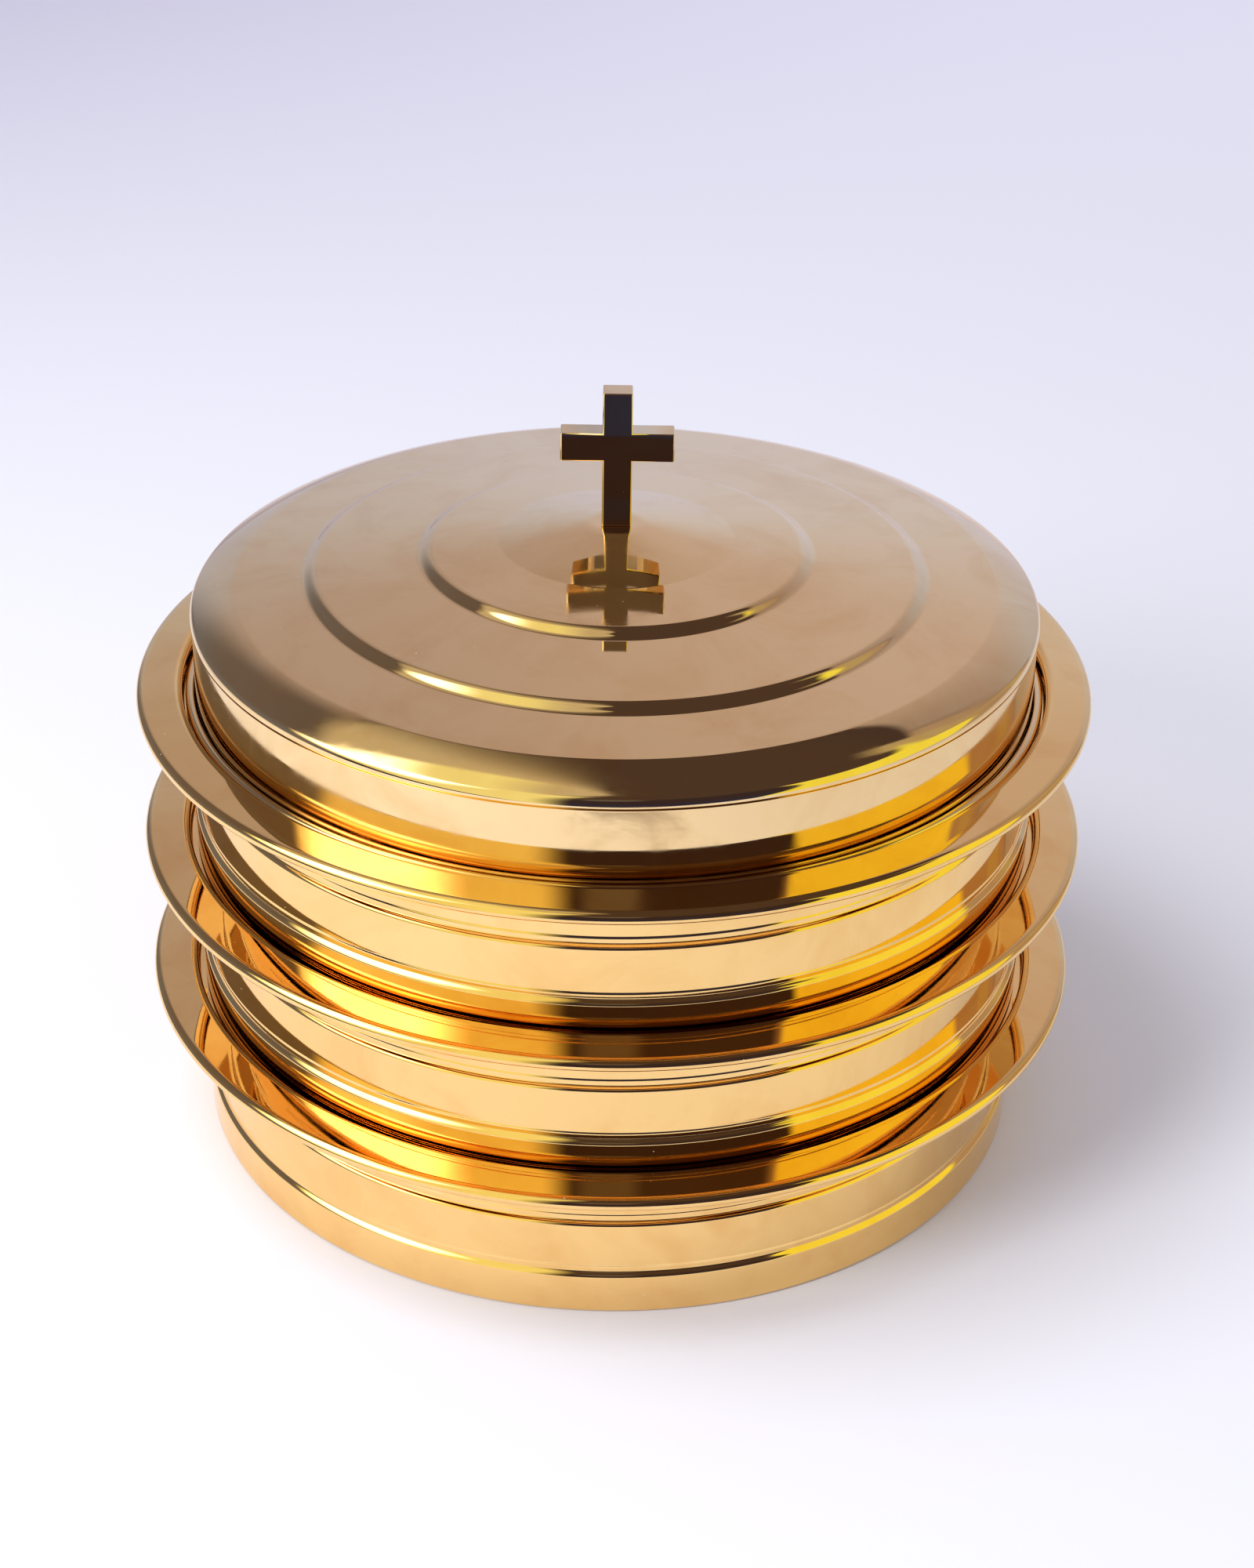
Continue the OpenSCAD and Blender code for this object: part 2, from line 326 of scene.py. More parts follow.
def tray_path(sizes):
    """Middle of a tray's sheet, from the centre of the floor to the rolled rim."""
    half = sizes.sheet / 2
    panel_rise, panel_radius, panel_blend = 1.2 * MM, sizes.foot_radius - 14 * MM, 3 * MM
    corner, crest_bend, roll, roll_end = 1 * MM, 2.1 * MM, 1.5 * MM, -160
    foot = sizes.foot_radius - half
    wall = foot - sizes.foot_step
    waist = wall - sizes.waist_step
    ledge = STACK_PITCH - half
    throat = sizes.foot_radius + sizes.throat_gap + half
    crest = STACK_PITCH + sizes.well_depth - half
    rim = sizes.foot_radius + sizes.throat_gap + sizes.lip_width
    crest_centre = (throat + crest_bend, crest - crest_bend)
    rim_centre = (rim - roll - half, crest + half - sizes.rim_drop)
    rim_bend, rim_bend_end = 4 * MM, 55
    inward = rim_bend - roll
    rim_bend_centre = (
        rim_centre[0] - inward * math.cos(math.radians(rim_bend_end)),
        rim_centre[1] - inward * math.sin(math.radians(rim_bend_end)),
    )
    reach = (rim_bend_centre[0] - crest_centre[0], rim_bend_centre[1] - crest_centre[1])
    lip_tilt = math.asin((crest_bend - rim_bend) / math.hypot(*reach))
    lip_slope = math.degrees(lip_tilt - math.atan2(reach[1], reach[0]))
    return (
        [(0, half + panel_rise)]
        + level_step((panel_radius, half + panel_rise), (panel_radius + panel_blend, half), panel_rise, 12)
        + bend((foot - corner, half + corner), corner, -90, 0, 8)
        + wall_step((foot, sizes.foot_height), (wall, sizes.foot_height + sizes.step_height))
        + wall_step((wall, sizes.waist_height), (waist, sizes.waist_height + sizes.step_height))
        + bend((waist + corner, ledge - corner), corner, 180, 90, 10)
        + bend((throat - corner, ledge + corner), corner, -90, 0, 10)
        + bend(crest_centre, crest_bend, 180, 90 - lip_slope, 16)
        + bend(rim_bend_centre, rim_bend, 90 - lip_slope, rim_bend_end, 14)
        + bend(rim_centre, roll, rim_bend_end, roll_end, 28)
    )


def cover_path(sizes, sheet):
    """Middle of the cover's sheet, from the screw hole to the rolled bead."""
    half = sheet / 2
    crown = sizes.crown_height - half
    flat, hole = 6.6 * MM, 2.25 * MM
    dome_slope, dome_bend = 10, 4.4 * MM
    shoulder_in, slope_in, slope_out = sizes.skirt_radius - 14 * MM, 15, 30
    corner, bulge = 2.5 * MM, 0.4 * MM
    crease_lead, crease_height, crease_depth = 0.4 * MM, 1.8 * MM, 0.4 * MM
    bead_end = 460
    skirt = sizes.skirt_radius - half

    def fall(width):
        return width * math.tan(sizes.ring_slope)

    sin_dome, cos_dome = math.sin(math.radians(dome_slope)), math.cos(math.radians(dome_slope))
    dome_arc = dome_bend / sin_dome
    dome_low = crown - dome_arc * (1 - cos_dome)
    dome_edge = crown - sizes.dome_height
    chord = (sizes.dome_radius - flat - dome_bend, dome_low - dome_edge)
    dome_turn = 2 * (math.degrees(math.atan2(chord[1], chord[0])) - dome_slope)
    outer = math.hypot(*chord) / (2 * math.sin(math.radians(dome_turn / 2)))
    outer_c = (flat + dome_bend - outer * sin_dome, dome_low - outer * cos_dome)
    first = dome_edge - fall(sizes.first_step - sizes.dome_radius)
    second_in = first - sizes.step_drop
    second = second_in - fall(sizes.second_step - sizes.first_step - sizes.step_width)
    third_in = second - sizes.step_drop
    shoulder_z = third_in - fall(shoulder_in - sizes.second_step - sizes.step_width)
    sin_in, sin_out = math.sin(math.radians(slope_in)), math.sin(math.radians(slope_out))
    wide = (skirt + bulge - shoulder_in - corner * (1 - sin_out)) / (sin_out - sin_in)
    wide_c = (shoulder_in - wide * sin_in, shoulder_z - wide * math.cos(math.radians(slope_in)))
    corner_c = (
        wide_c[0] + (wide - corner) * sin_out,
        wide_c[1] + (wide - corner) * math.cos(math.radians(slope_out)),
    )
    step_fall = sizes.step_drop - fall(sizes.step_width)
    crease_top = (skirt + bulge, corner_c[1] - crease_lead)
    crease_low = (skirt + bulge - crease_depth, corner_c[1] - crease_height)
    bead = (skirt + sizes.bead_roll, sizes.bead_roll + half)
    return (
        [(hole + half, crown)]
        + bend((flat, crown - dome_arc), dome_arc, 90, 90 - dome_slope, 16)
        + bend(outer_c, outer, 90 - dome_slope, 90 - dome_slope - dome_turn, 16)
        + level_step((sizes.first_step, first), (sizes.first_step + sizes.step_width, second_in), step_fall)
        + level_step((sizes.second_step, second), (sizes.second_step + sizes.step_width, third_in), step_fall)
        + bend(wide_c, wide, 90 - slope_in, 90 - slope_out, 20)
        + bend(corner_c, corner, 90 - slope_out, 0, 16)
        + upright_step(crease_top, crease_low, 12)
        + bend(bead, sizes.bead_roll, 180, bead_end, 36)
    )


# ---- geometry node trees ----


def named_tree(name, inputs):
    """A new geometry node tree with a geometry input and output and these named number inputs."""
    tree = bpy.data.node_groups.new(name, "GeometryNodeTree")
    tree.interface.new_socket("Geometry", in_out="INPUT", socket_type="NodeSocketGeometry")
    for label, (kind, value) in inputs.items():
        socket = tree.interface.new_socket(label, in_out="INPUT", socket_type=kind)
        if value is not None:
            socket.default_value = value
    tree.interface.new_socket("Geometry", in_out="OUTPUT", socket_type="NodeSocketGeometry")
    return tree


def put(tree, kind, links=(), **settings):
    """Adds one node. links are (input name or index, output socket or value)."""
    node = tree.nodes.new(kind)
    for key, value in settings.items():
        setattr(node, key, value)
    for target, source in links:
        if isinstance(source, bpy.types.NodeSocket):
            tree.links.new(source, node.inputs[target])
        else:
            node.inputs[target].default_value = source
    return node


def turning_tree():
    """Turns a flat outline round the Z axis."""
    tree = named_tree(
        "Turned Sheet",
        {
            "Segments": ("NodeSocketInt", 240),
            "Rail Radius": ("NodeSocketFloat", 0.1),
            "Metal": ("NodeSocketMaterial", None),
        },
    )
    entry = put(tree, "NodeGroupInput")
    profile = put(tree, "GeometryNodeMeshToCurve", [("Mesh", entry.outputs["Geometry"])])
    rail = put(
        tree,
        "GeometryNodeCurvePrimitiveCircle",
        [("Resolution", entry.outputs["Segments"]), ("Radius", entry.outputs["Rail Radius"])],
    )
    upright = put(tree, "GeometryNodeSetCurveNormal", [("Curve", rail.outputs["Curve"])])
    if hasattr(upright, "mode"):
        upright.mode = "Z_UP"
    turned = put(
        tree,
        "GeometryNodeCurveToMesh",
        [("Curve", upright.outputs["Curve"]), ("Profile Curve", profile.outputs["Curve"])],
    )
    merged = put(
        tree,
        "GeometryNodeMergeByDistance",
        [("Geometry", turned.outputs["Mesh"]), ("Distance", WELD)],
    )
    smooth = put(tree, "GeometryNodeSetShadeSmooth", [("Geometry", merged.outputs["Geometry"])])
    whole = put(tree, "GeometryNodeRealizeInstances", [("Geometry", smooth.outputs["Geometry"])])
    coated = put(
        tree,
        "GeometryNodeSetMaterial",
        [("Geometry", whole.outputs["Geometry"]), ("Material", entry.outputs["Metal"])],
    )
    put(tree, "NodeGroupOutput", [("Geometry", coated.outputs["Geometry"])])
    return tree


def plate_tree():
    """Round plate with three rings of holes and one in the centre."""
    inputs = {"Radius": ("NodeSocketFloat", 0.13), "Thickness": ("NodeSocketFloat", 0.0008)}
    inputs["Height"] = ("NodeSocketFloat", 0.026)
    inputs["Hole Radius"] = ("NodeSocketFloat", 0.0145)
    inputs["Centre Radius"] = ("NodeSocketFloat", 0.012)
    for ring in ("Outer", "Middle", "Inner"):
        inputs[ring + " Ring"] = ("NodeSocketFloat", 0.1)
        inputs[ring + " Count"] = ("NodeSocketInt", 12)
    inputs["Metal"] = ("NodeSocketMaterial", None)
    tree = named_tree("Holed Plate", inputs)
    entry = put(tree, "NodeGroupInput").outputs
    rim, hole, centre = (
        put(tree, "GeometryNodeCurvePrimitiveCircle", [("Resolution", corners), ("Radius", entry[size])])
        for size, corners in (("Radius", 240), ("Hole Radius", 64), ("Centre Radius", 64))
    )
    outlines = put(tree, "GeometryNodeJoinGeometry")
    tree.links.new(rim.outputs["Curve"], outlines.inputs["Geometry"])
    tree.links.new(centre.outputs["Curve"], outlines.inputs["Geometry"])
    for ring in ("Outer", "Middle", "Inner"):
        spots = put(
            tree,
            "GeometryNodeMeshCircle",
            [("Vertices", entry[ring + " Count"]), ("Radius", entry[ring + " Ring"])],
        )
        holes = put(
            tree,
            "GeometryNodeInstanceOnPoints",
            [("Points", spots.outputs["Mesh"]), ("Instance", hole.outputs["Curve"])],
        )
        real = put(tree, "GeometryNodeRealizeInstances", [("Geometry", holes.outputs["Instances"])])
        tree.links.new(real.outputs["Geometry"], outlines.inputs["Geometry"])
    flat = put(tree, "GeometryNodeFillCurve", [("Curve", outlines.outputs["Geometry"])])
    up = put(tree, "ShaderNodeCombineXYZ", [("Z", 1.0)])
    thick = put(
        tree,
        "GeometryNodeExtrudeMesh",
        [
            ("Mesh", flat.outputs["Mesh"]),
            ("Offset", up.outputs["Vector"]),
            ("Offset Scale", entry["Thickness"]),
            ("Individual", False),
        ],
    )
    under = put(tree, "GeometryNodeFlipFaces", [("Mesh", flat.outputs["Mesh"])])
    both = put(tree, "GeometryNodeJoinGeometry")
    tree.links.new(thick.outputs["Mesh"], both.inputs["Geometry"])
    tree.links.new(under.outputs["Mesh"], both.inputs["Geometry"])
    merged = put(
        tree,
        "GeometryNodeMergeByDistance",
        [("Geometry", both.outputs["Geometry"]), ("Distance", WELD)],
    )
    lift = put(tree, "ShaderNodeCombineXYZ", [("Z", entry["Height"])])
    raised = put(
        tree,
        "GeometryNodeTransform",
        [("Geometry", merged.outputs["Geometry"]), ("Translation", lift.outputs["Vector"])],
    )
    whole = put(tree, "GeometryNodeRealizeInstances", [("Geometry", raised.outputs["Geometry"])])
    coated = put(
        tree,
        "GeometryNodeSetMaterial",
        [("Geometry", whole.outputs["Geometry"]), ("Material", entry["Metal"])],
    )
    put(tree, "NodeGroupOutput", [("Geometry", coated.outputs["Geometry"])])
    return tree


def grown(source, tree, values):
    """Plain mesh made by a node tree from an object's mesh, which is removed."""
    modifier = source.modifiers.new(tree.name, "NODES")
    modifier.node_group = tree
    for item in tree.interface.items_tree:
        if item.item_type == "SOCKET" and item.in_out == "INPUT" and item.name in values:
            modifier[item.identifier] = values[item.name]
    bpy.context.view_layer.update()
    shown = source.evaluated_get(bpy.context.evaluated_depsgraph_get())
    mesh = bpy.data.meshes.new_from_object(shown)
    source.modifiers.remove(modifier)
    bpy.data.objects.remove(source)
    return mesh


def piece(name, mesh):
    """Object for a finished mesh."""
    mesh.name = name
    obj = bpy.data.objects.new(name, mesh)
    bpy.context.scene.collection.objects.link(obj)
    return obj


def outwards(mesh):
    """Turns every face of a closed mesh outwards."""
    shape = bmesh.new()
    shape.from_mesh(mesh)
    bmesh.ops.recalc_face_normals(shape, faces=shape.faces)
    if shape.calc_volume(signed=True) < 0:
        bmesh.ops.reverse_faces(shape, faces=shape.faces)
    shape.to_mesh(mesh)
    shape.free()


def turned_mesh(name, outline, metal, base_z=0.0, segments=240):
    """Closed mesh of an outline of (radius, height) points turned round the Z axis."""
    drawing = bpy.data.meshes.new(name + "_outline")
    points = [(r - RAIL, -z, 0.0) for r, z in outline]
    count = len(points)
    drawing.from_pydata(points, [(i, (i + 1) % count) for i in range(count)], [])
    source = piece(name + "_outline", drawing)
    tree = bpy.data.node_groups.get("Turned Sheet") or turning_tree()
    mesh = grown(source, tree, {"Segments": segments, "Rail Radius": RAIL, "Metal": metal})
    mesh.transform(Matrix.Translation((0, 0, base_z)))
    outwards(mesh)
    return mesh


# ---- materials ----


def smooth_range(tree, value, low, high):
    """Share that rises smoothly from 0 at the low value to 1 at the high one."""
    node = put(
        tree,
        "ShaderNodeMapRange",
        [("Value", value), ("From Min", low), ("From Max", high)],
        interpolation_type="SMOOTHSTEP",
    )
    return node.outputs[0]


def arithmetic(tree, operation, *values):
    """Result of one math node."""
    return put(tree, "ShaderNodeMath", list(enumerate(values)), operation=operation).outputs[0]


def product(tree, *shares):
    """All the shares multiplied."""
    total = shares[0]
    for share in shares[1:]:
        total = arithmetic(tree, "MULTIPLY", total, share)
    return total


def blended(tree, share, first, second, blend="MIX"):
    """Two colours mixed. The colour inputs share one name, so they are found by their places."""
    colours = [(0, share), (6, first), (7, second)]
    return put(tree, "ShaderNodeMix", colours, data_type="RGBA", blend_type=blend).outputs[2]


def metal_material(name, tint_value, roughness, haze=0.0, lines=1.0, waves=1.0, marks=1.0):
    """Polished turned metal: fine turning lines, slow waves, smudges, stains and specks."""
    material = bpy.data.materials.new(name)
    material.use_nodes = True
    tree = material.node_tree
    shader = tree.nodes["Principled BSDF"]
    shader.inputs["Metallic"].default_value = 1.0
    place = put(tree, "ShaderNodeTexCoord").outputs["Object"]
    split = put(tree, "ShaderNodeSeparateXYZ", [(0, place)])
    flat = put(tree, "ShaderNodeCombineXYZ", [("X", split.outputs["X"]), ("Y", split.outputs["Y"])])
    reach = put(tree, "ShaderNodeVectorMath", [(0, flat.outputs["Vector"])], operation="LENGTH")
    ring_place = put(
        tree, "ShaderNodeCombineXYZ", [("X", reach.outputs["Value"]), ("Y", split.outputs["Z"])]
    )

    def noise(source, scale, detail, rough=0.5, distortion=0.0):
        node = put(
            tree,
            "ShaderNodeTexNoise",
            [
                ("Vector", source),
                ("Scale", scale),
                ("Detail", detail),
                ("Roughness", rough),
                ("Distortion", distortion),
            ],
        )
        return node.outputs["Fac"]

    def ramp(source, *stops):
        node = put(tree, "ShaderNodeValToRGB", [("Fac", source)])
        for spot, level in stops:
            if spot in (stops[0][0], stops[-1][0]):
                element = node.color_ramp.elements[0 if spot == stops[0][0] else 1]
                element.position = spot
            else:
                element = node.color_ramp.elements.new(spot)
            element.color = (level, level, level, 1.0)
        return node.outputs["Color"]

    fine_lines = noise(ring_place.outputs["Vector"], 5200, 3, 0.7)
    broad_lines = noise(ring_place.outputs["Vector"], 420, 3, 0.6)
    slow = noise(place, 9, 2, 0.5)
    smudge = noise(place, 30, 6, 0.62, 0.6)
    stain = noise(place, 21, 3, 0.5, 0.3)
    speck = put(tree, "ShaderNodeTexVoronoi", [("Vector", place), ("Scale", 190)]).outputs["Distance"]
    cloud = ramp(smudge, (0.45, 0.0), (0.72, 1.0))
    patches = ramp(stain, (0.66, 0.0), (0.72, 1.0))
    dust = ramp(speck, (0.035, 1.0), (0.055, 0.0))
    few = ramp(noise(place, 55, 1), (0.60, 0.0), (0.63, 1.0))
    dust_here = blended(tree, 1.0, dust, few, "MULTIPLY")

    red, green, blue = tint_value
    base = (red, green, blue, 1.0)
    deeper = (red * 0.93, green * 0.86, blue * 0.78, 1.0)
    stained = (red * 0.90, green * 0.78, blue * 0.66, 1.0)
    dust_colour, dust_level = (0.95, 0.90, 0.82, 1.0), (0.6, 0.6, 0.6, 1.0)
    colour = blended(tree, cloud, base, deeper)
    colour = blended(tree, arithmetic(tree, "MULTIPLY", patches, 0.55 * marks), colour, stained)
    colour = blended(tree, dust_here, colour, dust_colour)
    tree.links.new(colour, shader.inputs["Base Color"])

    clouded = roughness + 0.05 + haze * 0.5
    level = blended(tree, cloud, (roughness,) * 3 + (1,), (clouded,) * 3 + (1,))
    lined = blended(tree, 0.35 * lines, level, broad_lines, "OVERLAY")
    dusty = blended(tree, dust_here, lined, dust_level)
    tree.links.new(dusty, shader.inputs["Roughness"])

    wave_depth, broad_depth, fine_depth = 0.03 * MM, 0.004 * MM, 0.001 * MM
    waved = [("Strength", 0.6), ("Distance", wave_depth * waves), ("Height", slow)]
    bump = put(tree, "ShaderNodeBump", waved)
    for height, strength, distance in (
        (broad_lines, 0.5, broad_depth * lines),
        (fine_lines, 0.5, fine_depth * lines),
    ):
        bump = put(
            tree,
            "ShaderNodeBump",
            [
                ("Strength", strength),
                ("Distance", distance),
                ("Height", height),
                ("Normal", bump.outputs["Normal"]),
            ],
        )
    tree.links.new(bump.outputs["Normal"], shader.inputs["Normal"])
    return material


def metal(name):
    """The named finish, made once."""
    made = bpy.data.materials.get(name)
    if made:
        return made
    finish = bpy.context.scene.tray_finishes
    # Tint, roughness, haze, then the strength of the turning lines, waves and marks
    recipes = {
        "tray gold": (finish.tray_tint, finish.polish, 0.0, 1.0, 1.0, 1.0),
        "cover gold": (finish.cover_tint, finish.haze, 0.2, 0.6, 0.8, 0.6),
        "cross gold": (finish.cross_tint, finish.polish, 0.0, 0.0, 0.2, 0.4),
        "rack gold": (finish.rack_tint, finish.haze, 0.1, 1.0, 1.0, 0.6),
        "fixing steel": (finish.steel_tint, finish.haze, 0.1, 0.3, 0.3, 0.3),
    }
    return metal_material(name, *recipes[name])


def settle(obj, node):
    """Lets a piece stand for its CAD node and ride on that node's body."""
    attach(obj, BODY_OF[node])
    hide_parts(node)


# ---- operators ----


class TRAYSET_OT_trays(bpy.types.Operator):
    """Turn the three lipped trays"""

    bl_idname = "trayset.trays"
    bl_label = "Trays"

    def execute(self, context):
        """Builds one piece for each tray."""
        sizes = context.scene.tray_sizes
        outline = sheet_outline(tray_path(sizes), sizes.sheet, round_start=False)
        for node in TRAYS:
            mesh = turned_mesh(node, outline, metal("tray gold"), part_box(node)[0].z)
            settle(piece(node + "_turned", mesh), node)
        return {"FINISHED"}


class TRAYSET_OT_racks(bpy.types.Operator):
    """Make the three holed cup racks"""

    bl_idname = "trayset.racks"
    bl_label = "Cup racks"

    def execute(self, context):
        """Builds one piece for each rack."""
        sizes = context.scene.rack_sizes
        sheet = context.scene.tray_sizes.sheet
        half = sheet / 2
        corner = 3 * MM
        skirt = sizes.radius - half
        level = sizes.height - half
        finger = sizes.finger_hole + half
        collar_bend = 1 * MM
        ring = skirt - sizes.ring_inset
        plate_values = {
            "Radius": skirt - corner,
            "Thickness": sheet,
            "Hole Radius": sizes.cup_hole,
            "Centre Radius": finger + collar_bend,
            "Outer Ring": ring,
            "Middle Ring": ring - sizes.ring_spacing,
            "Inner Ring": ring - 2 * sizes.ring_spacing,
            "Outer Count": sizes.outer_count,
            "Middle Count": sizes.middle_count,
            "Inner Count": sizes.inner_count,
            "Metal": metal("rack gold"),
        }
        skirt_foot = (skirt, RACK_LOW.z + half + STANDING_GAP)
        skirt_path = bend((skirt - corner, level - corner), corner, 90, 0, 12) + [skirt_foot]
        collar_path = [(finger, level - sizes.collar + half)] + bend(
            (finger + collar_bend, level - collar_bend), collar_bend, 180, 90, 8
        )
        for node in RACKS:
            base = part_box(node)[0].z - RACK_LOW.z
            bare = piece(node + "_start", bpy.data.meshes.new(node + "_start"))
            tree = bpy.data.node_groups.get("Holed Plate") or plate_tree()
            values = dict(plate_values, Height=base + sizes.height - sheet)
            shape = bmesh.new()
            shape.from_mesh(grown(bare, tree, values))
            for path in (skirt_path, collar_path):
                outline = sheet_outline(path, sheet, round_start=False)
                shape.from_mesh(turned_mesh(node, outline, metal("rack gold"), base))
            bmesh.ops.recalc_face_normals(shape, faces=shape.faces)
            mesh = bpy.data.meshes.new(node)
            shape.to_mesh(mesh)
            shape.free()
            mesh.materials.append(metal("rack gold"))
            settle(piece(node + "_holed", mesh), node)
        return {"FINISHED"}


class TRAYSET_OT_cover(bpy.types.Operator):
    """Turn the stepped cover"""

    bl_idname = "trayset.cover"
    bl_label = "Cover"

    def execute(self, context):
        """Builds the cover."""
        sheet = context.scene.tray_sizes.sheet
        outline = sheet_outline(cover_path(context.scene.cover_sizes, sheet), sheet, round_start=True)
        mesh = turned_mesh("cover", outline, metal("cover gold"), COVER_LOW.z)
        settle(piece("cover_turned", mesh), "cover")
        return {"FINISHED"}


class TRAYSET_OT_cross(bpy.types.Operator):
    """Make the cross finial"""

    bl_idname = "trayset.cross"
    bl_label = "Cross"

    def execute(self, context):
        """Builds the cross with soft polished edges."""
        sizes = context.scene.cross_sizes
        half_bar, half_span = sizes.bar / 2, sizes.span / 2
        arm_top = sizes.height - sizes.arm_drop
        arm_low = arm_top - sizes.bar
        corners = [
            (-half_bar, 0), (half_bar, 0), (half_bar, arm_low), (half_span, arm_low),
            (half_span, arm_top), (half_bar, arm_top), (half_bar, sizes.height), (-half_bar, sizes.height),
            (-half_bar, arm_top), (-half_span, arm_top), (-half_span, arm_low), (-half_bar, arm_low),
        ]
        shape = bmesh.new()
        front = [shape.verts.new((x, -sizes.depth / 2, z + CROSS_LOW.z)) for x, z in corners]
        back = [shape.verts.new((x, sizes.depth / 2, z + CROSS_LOW.z)) for x, z in corners]
        shape.faces.new(front)
        shape.faces.new(back[::-1])
        for i in range(len(corners)):
            j = (i + 1) % len(corners)
            shape.faces.new((front[i], back[i], back[j], front[j]))
        bmesh.ops.recalc_face_normals(shape, faces=shape.faces)
        convex = [e for e in shape.edges if e.is_convex]
        bmesh.ops.bevel(
            shape, geom=convex, offset=sizes.edge, segments=5, profile=0.5, affect="EDGES", clamp_overlap=True
        )
        mesh = bpy.data.meshes.new("cross")
        shape.to_mesh(mesh)
        shape.free()
        for face in mesh.polygons:
            face.use_smooth = True
        mesh.materials.append(metal("cross gold"))
        cross = piece("cross_polished", mesh)
        weighted = cross.modifiers.new("Even shading", "WEIGHTED_NORMAL")
        weighted.keep_sharp = True
        settle(cross, "cross")
        return {"FINISHED"}


class TRAYSET_OT_fixing(bpy.types.Operator):
    """Finish the screw and washer under the cover"""

    bl_idname = "trayset.fixing"
    bl_label = "Cross fixing"

    def execute(self, context):
        """Gives the two CAD pieces their metal."""
        for node in ("cross_washer", "cross_screw"):
            obj = frame["nodes"][node]
            obj.data.materials.clear()
            obj.data.materials.append(metal("fixing steel"))
        return {"FINISHED"}


# ---- studio ----


def polar(azimuth, elevation, distance):
    """Point at an azimuth from the front, positive to the right, seen from the foot of the stack."""
    a, e = math.radians(azimuth), math.radians(elevation)
    return (
        distance * math.cos(e) * math.sin(a),
        -distance * math.cos(e) * math.cos(a),
        distance * math.sin(e),
    )


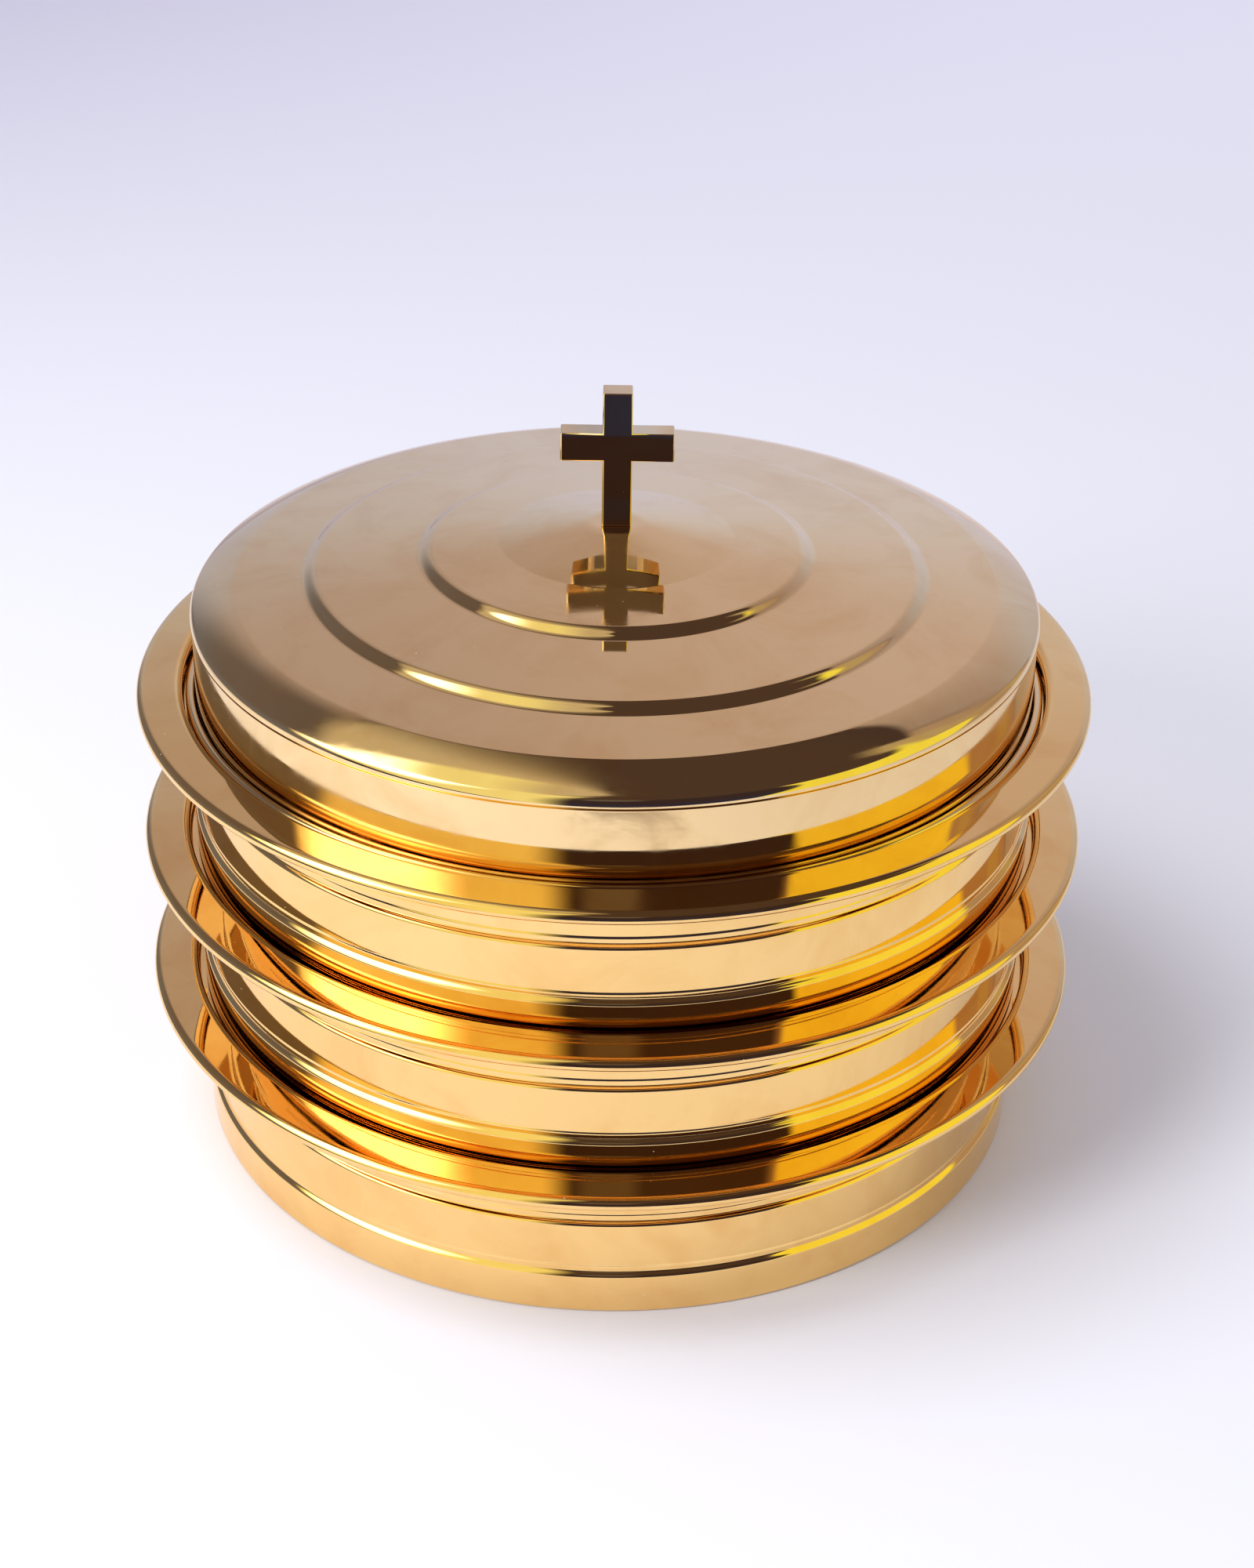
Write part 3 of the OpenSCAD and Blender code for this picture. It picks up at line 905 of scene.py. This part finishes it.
class TRAYSET_OT_stage(bpy.types.Operator):
    """Set up the table, backdrop, lights and camera"""

    bl_idname = "trayset.stage"
    bl_label = "Studio"

    def execute(self, context):
        """Builds the studio and places the camera."""
        settings = context.scene.tray_stage
        self.table(settings)
        self.room(settings)
        self.light(context, "key_light", settings.key_light, 1.0, polar(-75, 66, 1.9))
        self.light(context, "fill_light", settings.fill_light, 0.7, polar(-45, 35, 1.8))
        world = bpy.data.worlds.new("even light")
        world.use_nodes = True
        background = world.node_tree.nodes["Background"]
        background.inputs["Color"].default_value = (*settings.ambient_tint, 1.0)
        context.scene.world = world
        context.scene.view_settings.view_transform = "Standard"
        self.camera(context)
        return {"FINISHED"}

    @staticmethod
    def light(context, name, power, size, spot):
        """Soft round light that shines on the table but isn't seen in the metal."""
        data = bpy.data.lights.new(name, "AREA")
        data.shape = "DISK"
        data.size = size
        data.energy = power
        data.color = (0.95, 0.97, 1.0)
        lamp = bpy.data.objects.new(name, data)
        context.scene.collection.objects.link(lamp)
        aimed = Vector(spot).to_track_quat("Z", "Y").to_matrix().to_4x4()
        lamp.matrix_world = Matrix.Translation(spot) @ aimed
        lamp.visible_glossy = False

    @staticmethod
    def table(settings):
        """White table, painted darker towards the back and darker still at the far left as painted shade. The
        part nearest the camera isn't seen in the metal.
        """
        far, edge, half_width, gap = 5.5, -0.455, 5.5, 0.2 * MM
        material = bpy.data.materials.new("table top")
        material.use_nodes = True
        tree = material.node_tree
        shader = tree.nodes["Principled BSDF"]
        shader.inputs["Roughness"].default_value = 0.6
        shader.inputs["Specular IOR Level"].default_value = 0.1
        place = put(tree, "ShaderNodeTexCoord").outputs["Object"]
        split = put(tree, "ShaderNodeSeparateXYZ", [(0, place)])
        # Painted shade: this share paints the table darker towards the back; it also raises the glow there.
        away = smooth_range(tree, split.outputs["Y"], 0.1, 1.7)
        # Painted shade: the far left of the table is painted darker still.
        painted_shade_left_share = smooth_range(tree, split.outputs["X"], 0.6, -1.0)
        far_painted_shade_colour = blended(tree, painted_shade_left_share, (*settings.far_painted_shade_tint, 1), (*settings.left_painted_shade_tint, 1))
        shade = blended(tree, away, (*settings.table_tint, 1), far_painted_shade_colour)
        tree.links.new(shade, shader.inputs["Base Color"])
        tree.links.new(shade, shader.inputs["Emission Color"])
        gain = settings.far_glow - settings.table_glow
        rise = arithmetic(tree, "MULTIPLY_ADD", away, gain, settings.table_glow)
        tree.links.new(rise, shader.inputs["Emission Strength"])
        for name, near, far_end in (("table_top", edge, far), ("table_front", -far, edge)):
            mesh = bpy.data.meshes.new(name)
            places = ((-half_width, near), (half_width, near), (half_width, far_end), (-half_width, far_end))
            mesh.from_pydata([(x, y, -gap) for x, y in places], [], [(0, 1, 2, 3)])
            mesh.materials.append(material)
            part = piece(name, mesh)
            part.visible_glossy = name == "table_top"

    @staticmethod
    def room(settings):
        """Dome with a backdrop, a softbox to the left, a warm panel to the right and a dim room in front."""
        shape = bmesh.new()
        bmesh.ops.create_uvsphere(shape, u_segments=48, v_segments=24, radius=6.0)
        bmesh.ops.reverse_faces(shape, faces=shape.faces)
        mesh = bpy.data.meshes.new("room_dome")
        shape.to_mesh(mesh)
        shape.free()
        for face in mesh.polygons:
            face.use_smooth = True
        dome = piece("room_dome", mesh)
        dome.visible_camera = False
        dome.visible_diffuse = False
        dome.visible_shadow = False
        material = bpy.data.materials.new("room dome")
        material.use_nodes = True
        tree = material.node_tree
        tree.nodes.clear()
        place = put(tree, "ShaderNodeTexCoord").outputs["Object"]
        aim = put(tree, "ShaderNodeVectorMath", [(0, place)], operation="NORMALIZE")
        split = put(tree, "ShaderNodeSeparateXYZ", [(0, aim.outputs["Vector"])])
        side, back, up = (split.outputs[axis] for axis in "XYZ")
        round_turn = arithmetic(tree, "DEGREES", arithmetic(tree, "ARCTAN2", side, back))
        rise = arithmetic(tree, "DEGREES", arithmetic(tree, "ARCSINE", up))

        def tone(name):
            return (*getattr(settings, name + "_tint"), 1)

        def rising(value, low, high):
            return smooth_range(tree, value, low, high)

        def leaning(slope):
            return arithmetic(tree, "MULTIPLY_ADD", rise, slope, round_turn)

        # All angles are in degrees. A mask is 0 at its first angle and full at its second.
        colour = blended(tree, rising(rise, -12, 20), tone("floor"), tone("room"))
        colour = blended(tree, rising(rise, 40, 60), colour, tone("ceiling"))
        off_centre = arithmetic(tree, "ABSOLUTE", side)
        overhead = product(tree, rising(back, -0.5, -0.7), rising(off_centre, 0.14, 0.06))
        colour = blended(tree, product(tree, overhead, rising(rise, 34, 42)), colour, tone("camera"))
        below_top = rising(rise, 51.5, 49.5)
        wall = product(tree, below_top, rising(round_turn, 46, 50), rising(round_turn, 130, 124))
        colour = blended(tree, wall, colour, tone("wall"))

        backdrop = blended(tree, rising(rise, 16, 34), tone("low"), tone("middle"))
        backdrop = blended(tree, rising(rise, 34, 50), backdrop, tone("high"))
        shade = 0.27
        for start, end, amount in ((-38, -24, 0.48), (-24, 5, 0.25), (12, 50, -0.3)):
            shade = arithmetic(tree, "MULTIPLY_ADD", rising(round_turn, start, end), amount, shade)
        backdrop = blended(tree, shade, (0, 0, 0, 1), backdrop)
        behind = product(tree, below_top, rising(round_turn, -112, -104), rising(round_turn, 50, 46))
        colour = blended(tree, behind, colour, backdrop)

        panel_edge, panel_end = leaning(0.55), leaning(0.25)
        panel = product(tree, rising(panel_edge, 84.5, 88), rising(panel_end, 139, 136), rising(rise, 54, 51))
        strip = product(tree, rising(round_turn, 52, 54), rising(round_turn, 61, 59), rising(rise, 60, 54))
        colour = blended(tree, strip, colour, tone("strip"))
        colour = blended(tree, panel, colour, tone("panel"))

        halo = product(tree, rising(rise, 50, 53), rising(round_turn, 0, -46))
        halo = product(tree, halo, rising(round_turn, -150, -110))
        colour = blended(tree, halo, colour, tone("halo"))
        low_side, near_side = leaning(-1.25), leaning(-0.8)
        softbox = product(tree, rising(low_side, -122, -129), rising(round_turn, -170, -158))
        softbox = product(tree, softbox, rising(rise, 84, 74), rising(near_side, -103, -109))
        core = product(tree, rising(round_turn, -138, -116), rising(low_side, -124, -142))
        core = product(tree, core, rising(rise, 18, 36), rising(rise, 68, 56))
        bright = blended(tree, core, tone("softbox"), (settings.softbox_core,) * 3 + (1,))
        colour = blended(tree, softbox, colour, bright)

        glow = put(tree, "ShaderNodeEmission", [("Color", colour)])
        put(tree, "ShaderNodeOutputMaterial", [("Surface", glow.outputs[0])])
        mesh.materials.append(material)

    @staticmethod
    def camera(context):
        """Camera in front of the stack, looking down on it."""
        place, turned, looking_down, tilted = (-0.0004, -0.9224, 0.6318), -0.32, 29.32, 0.9
        data = bpy.data.cameras.new("camera")
        data.lens = 71.75
        data.sensor_width = 36.0
        data.clip_start = 0.05
        camera = bpy.data.objects.new("camera", data)
        context.scene.collection.objects.link(camera)
        spot = Matrix.Translation(place)
        yaw = Matrix.Rotation(math.radians(turned), 4, "Z")
        pitch = Matrix.Rotation(math.radians(90 - looking_down), 4, "X")
        roll = Matrix.Rotation(math.radians(tilted), 4, "Z")
        camera.matrix_world = spot @ yaw @ pitch @ roll
        context.scene.camera = camera


class TRAYSET_PT_sidebar(bpy.types.Panel):
    """Lists the build steps and their sizes"""

    bl_idname = "TRAYSET_PT_sidebar"
    bl_label = "Communion Tray Set"
    bl_space_type = "VIEW_3D"
    bl_region_type = "UI"
    bl_category = "Tray Set"

    def draw(self, context):
        """Shows each operator, then each group of settings."""
        for step in BUILD_STEPS:
            self.layout.operator(step.bl_idname)
        for name, group in GROUPS.items():
            box = self.layout.box()
            box.label(text=group.__doc__)
            for prop in group.__annotations__:
                box.prop(getattr(context.scene, name), prop)


BUILD_STEPS = (
    TRAYSET_OT_trays,
    TRAYSET_OT_racks,
    TRAYSET_OT_cover,
    TRAYSET_OT_cross,
    TRAYSET_OT_fixing,
    TRAYSET_OT_stage,
)
CLASSES = tuple(GROUPS.values()) + BUILD_STEPS + (TRAYSET_PT_sidebar,)


def register():
    """Registers the classes and hangs the settings on the scene."""
    for cls in CLASSES:
        bpy.utils.register_class(cls)
    for name, group in GROUPS.items():
        setattr(bpy.types.Scene, name, bpy.props.PointerProperty(type=group))


def unregister():
    """Takes the settings and classes away again."""
    for name in GROUPS:
        delattr(bpy.types.Scene, name)
    for cls in reversed(CLASSES):
        bpy.utils.unregister_class(cls)


def main():
    """Builds everything in order."""
    register()
    for step in BUILD_STEPS:
        group, name = step.bl_idname.split(".")
        getattr(getattr(bpy.ops, group), name)()


if __name__ == "__main__":
    main()
